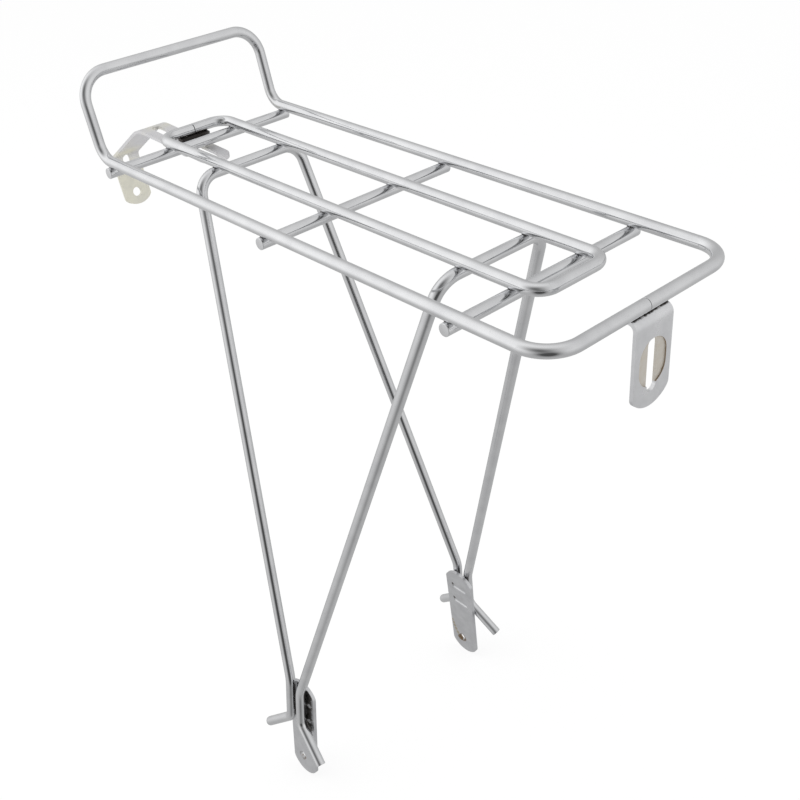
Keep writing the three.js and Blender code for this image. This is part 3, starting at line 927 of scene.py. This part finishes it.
# The studio's brightness as the metal mirrors it. Each soft patch of light, or of dark where its gain is
# negative, is (gain, azimuth, elevation, tightness); azimuth is in degrees from the rack's front towards its
# left. The gloom, below the camera, darkens the floor's part of it too.
STUDIO_BASE = 0.86
STUDIO_GLOOM = ((-0.20, 136.0, -42.0, 14.0), (-0.21, 138.0, -20.0, 14.0), (-0.26, 149.0, 3.0, 14.0))
STUDIO_FLOOR = 0.502
DARKEST = 0.08
FLOOR_FADE = (-0.93, 0.22)   # heights of a direction at which the floor's grey begins to fade, and is gone
STUDIO_PATCHES = (
    (1.081, 76.3, 41.1, 1.5),
    (-1.5, 106.0, 37.6, 3.0),
    (-1.10, 131.8, -30.0, 9.0),
    (-0.485, -40.3, 20.0, 1.0),
)


def toward(azimuth, elevation):
    """Unit vector at an azimuth and elevation in degrees."""
    a, e = math.radians(azimuth), math.radians(elevation)
    return Vector((math.cos(e) * math.cos(a), math.cos(e) * math.sin(a), math.sin(e)))


def studio_patch(tree, direction, gain, azimuth, elevation, tightness):
    """Output socket of one soft patch of light or dark in the studio's surroundings."""
    facing = {0: direction, 1: toward(azimuth, elevation)}
    near = add(tree, "VectorMath", facing, operation="DOT_PRODUCT").outputs["Value"]
    falling = math_node(tree, "MULTIPLY", math_node(tree, "SUBTRACT", near, 1.0), tightness)
    return math_node(tree, "MULTIPLY", math_node(tree, "EXPONENT", falling), gain)


def build_world():
    """A pale studio: a broad light on the left, dark patches round the camera, and a grey floor below."""
    world = bpy.data.worlds.new("studio")
    bpy.context.scene.world = world
    world.use_nodes = True
    tree = world.node_tree
    tree.nodes.clear()
    direction = add(tree, "TexCoord").outputs["Generated"]
    sky = STUDIO_BASE
    for patch in STUDIO_PATCHES:
        sky = math_node(tree, "ADD", sky, studio_patch(tree, direction, *patch))
    height = add(tree, "SeparateXYZ", {0: direction}).outputs["Z"]
    above = remap(tree, height, *FLOOR_FADE, 0.0, 1.0, smooth=True)
    around = add(tree, "Mix", {0: above, 2: STUDIO_FLOOR, 3: sky}, data_type="FLOAT").outputs[0]
    for patch in STUDIO_GLOOM:
        around = math_node(tree, "ADD", around, studio_patch(tree, direction, *patch))
    around = math_node(tree, "MAXIMUM", around, DARKEST)
    camera_ray = add(tree, "LightPath").outputs["Is Camera Ray"]
    strength = add(tree, "Mix", {0: camera_ray, 2: around, 3: 1.0}, data_type="FLOAT").outputs[0]
    background = add(tree, "Background", {"Color": (1, 1, 1, 1), "Strength": strength})
    add(tree, "OutputWorld", {"Surface": background.outputs[0]})


PAPER_DARK, PAPER_PALE = (0.93, 0.93, 0.93, 1), (0.95, 0.95, 0.95, 1)
PAPER_GLOW = 1.08
PAPER_SHADE = 0.22           # share of the floor that takes light and shadow; the rest glows
FLOOR_HALF = 12
FLOOR_GAP = 0.4


def floor_material():
    """Seamless white paper that takes only a trace of shadow."""
    material, tree = empty_material("paper")
    place = add(tree, "TexCoord").outputs["Object"]
    fibre = noise_at(tree, place, 60.0)
    paper = add(tree, "BsdfDiffuse", {"Color": mix_colour(tree, fibre, PAPER_DARK, PAPER_PALE)})
    glow = add(tree, "Emission", {"Color": (1, 1, 1, 1), "Strength": PAPER_GLOW})
    mixed = add(tree, "MixShader", {0: PAPER_SHADE, 1: glow.outputs[0], 2: paper.outputs[0]})
    add(tree, "OutputMaterial", {"Surface": mixed.outputs[0]})
    return material


def build_stage():
    """The floor, which the metal doesn't mirror: the studio's own grey below stands in for it."""
    z = CAD_BOX[0].z - FLOOR_GAP * MM
    corners = [(x * FLOOR_HALF, y * FLOOR_HALF, z) for x, y in ((-1, -1), (1, -1), (1, 1), (-1, 1))]
    data = bpy.data.meshes.new("floor")
    data.from_pydata(corners, [], [(0, 1, 2, 3)])
    data.materials.append(floor_material())
    floor = linked("floor", data)
    floor.visible_glossy = False


LAMP_AT = (0.3, 0.5, 1.9)
LAMP_SIZE = 1.4
LAMP_WATTS = 7


def build_lights():
    """A broad soft box overhead, which shows in no mirror image on the metal."""
    data = bpy.data.lights.new("soft_box", "AREA")
    data.shape = "DISK"
    data.size = LAMP_SIZE
    data.energy = LAMP_WATTS
    lamp = linked("soft_box", data)
    lamp.location = LAMP_AT
    lamp.rotation_euler = (-lamp.location).to_track_quat("-Z", "Y").to_euler()
    lamp.visible_camera = False
    lamp.visible_glossy = False


# ---- the scene -----------------------------------------------------------------------------------

WELDS = weld_points()
FASTENER_METAL = plate_material("fastener_metal")
build_rods(WELDS)
build_welds(WELDS)
build_feet()
build_bracket()
build_stay(FASTENER_METAL)
build_camera()
build_world()
build_stage()
build_lights()
bpy.context.scene.view_settings.view_transform = "Standard"
